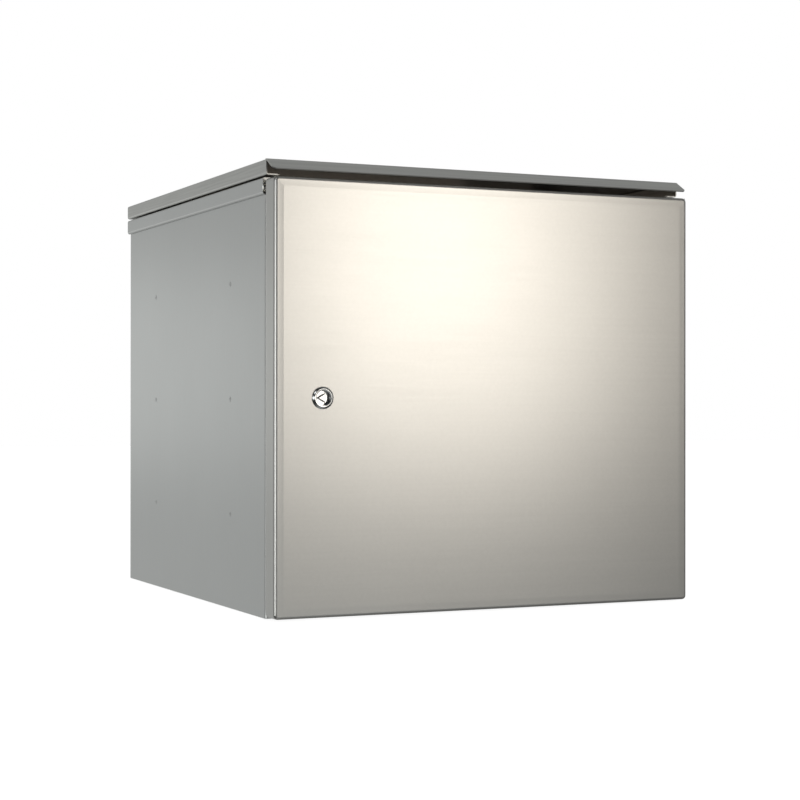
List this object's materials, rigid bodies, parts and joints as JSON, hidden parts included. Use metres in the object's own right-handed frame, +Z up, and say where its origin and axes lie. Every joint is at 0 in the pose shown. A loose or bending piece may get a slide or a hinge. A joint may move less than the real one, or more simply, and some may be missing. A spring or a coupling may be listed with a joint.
{
  "type": "switchboard cabinet",
  "caption": "Stainless-steel outdoor switchboard cabinet with a rain roof and drip visor, one hinged door with a quarter-turn lock, and a mounting plate with rails inside.",
  "frame": {"origin": "on the ground under the middle of the closed cabinet's bounding box", "axes": "+Z up; the door faces -Y and the back, which goes against a wall, faces +Y; +X is the hinge side"},
  "size_m": [0.602, 0.6432, 0.574],
  "materials": {
    "stainless_body": "fine brushed stainless, satin",
    "stainless_roof": "brushed stainless, grain along the fold",
    "stainless_door": "fine horizontal brushing, satin, slightly warm",
    "hinge_steel": "bright stainless",
    "fastener_steel": "bright stainless, turned",
    "zinc_plated_steel": "zinc plated, faint spangle",
    "lock_chrome": "polished chrome plate",
    "black_rubber": "matt foamed seal",
    "black_nylon": "matt",
    "bar_brass": "drawn brass, satin",
    "blue_insulator": "moulded, matt"
  },
  "bodies": {
    "cabinet": {"bar_fixing_screws": "fastener_steel", "body_earth_nut": "fastener_steel", "body_earth_stud": "fastener_steel", "body_shell": "stainless_body", "bottom_tray": "stainless_body", "clamp_screws": "fastener_steel", "depth_rail_left_lower": "stainless_body", "depth_rail_left_upper": "stainless_body", "depth_rail_right_lower": "stainless_body", "depth_rail_right_upper": "stainless_body", "din_rail_lower": "zinc_plated_steel", "din_rail_middle": "zinc_plated_steel", "din_rail_screws": "fastener_steel", "din_rail_upper": "zinc_plated_steel", "earth_bar": "bar_brass", "earth_bar_posts": "bar_brass", "front_frame": "stainless_body", "gland_gasket": "black_rubber", "gland_nuts": "fastener_steel", "gland_plate": "stainless_body", "gland_screws": "fastener_steel", "hinge_nuts": "fastener_steel", "hinge_screws": "fastener_steel", "lock_keeper": "stainless_body", "lower_hinge_body_leaf": "hinge_steel", "lower_hinge_pin": "hinge_steel", "mounting_plate": "zinc_plated_steel", "neutral_bar": "bar_brass", "neutral_bar_insulators": "blue_insulator", "plate_bolts": "fastener_steel", "plate_bracket_left_lower": "zinc_plated_steel", "plate_bracket_left_upper": "zinc_plated_steel", "plate_bracket_right_lower": "zinc_plated_steel", "plate_bracket_right_upper": "zinc_plated_steel", "plate_nuts": "fastener_steel", "rail_bolts": "fastener_steel", "rail_nuts": "fastener_steel", "rain_roof": "stainless_roof", "roof_nuts": "fastener_steel", "roof_screws": "fastener_steel", "roof_sealing_washers": "black_rubber", "roof_spacers": "black_nylon", "top_tray": "stainless_body", "upper_hinge_body_leaf": "hinge_steel", "upper_hinge_pin": "hinge_steel"},
    "door": {"door_panel": "stainless_door", "door_gasket": "black_rubber", "door_stiffener_left": "stainless_body", "door_stiffener_right": "stainless_body", "door_earth_stud": "fastener_steel", "door_earth_nut": "fastener_steel", "lower_hinge_door_leaf": "hinge_steel", "upper_hinge_door_leaf": "hinge_steel", "lock_seal": "black_rubber", "lock_housing": "lock_chrome", "lock_nut": "fastener_steel"},
    "lock": {"lock_driver": "lock_chrome", "lock_cam": "zinc_plated_steel", "cam_washer": "fastener_steel", "cam_screw": "fastener_steel"}
  },
  "joints": [
    {"name": "door_hinge", "type": "hinge", "parent": "cabinet", "child": "door", "pos_m": [0.297, -0.2844, 0.27625], "axis": [0, 0, 1], "range_deg": [0, 110]},
    {"name": "lock_turn", "type": "hinge", "parent": "door", "child": "lock", "pos_m": [-0.236, -0.3184, 0.27625], "axis": [0, 1, 0], "range_deg": [0, 90]}
  ]
}
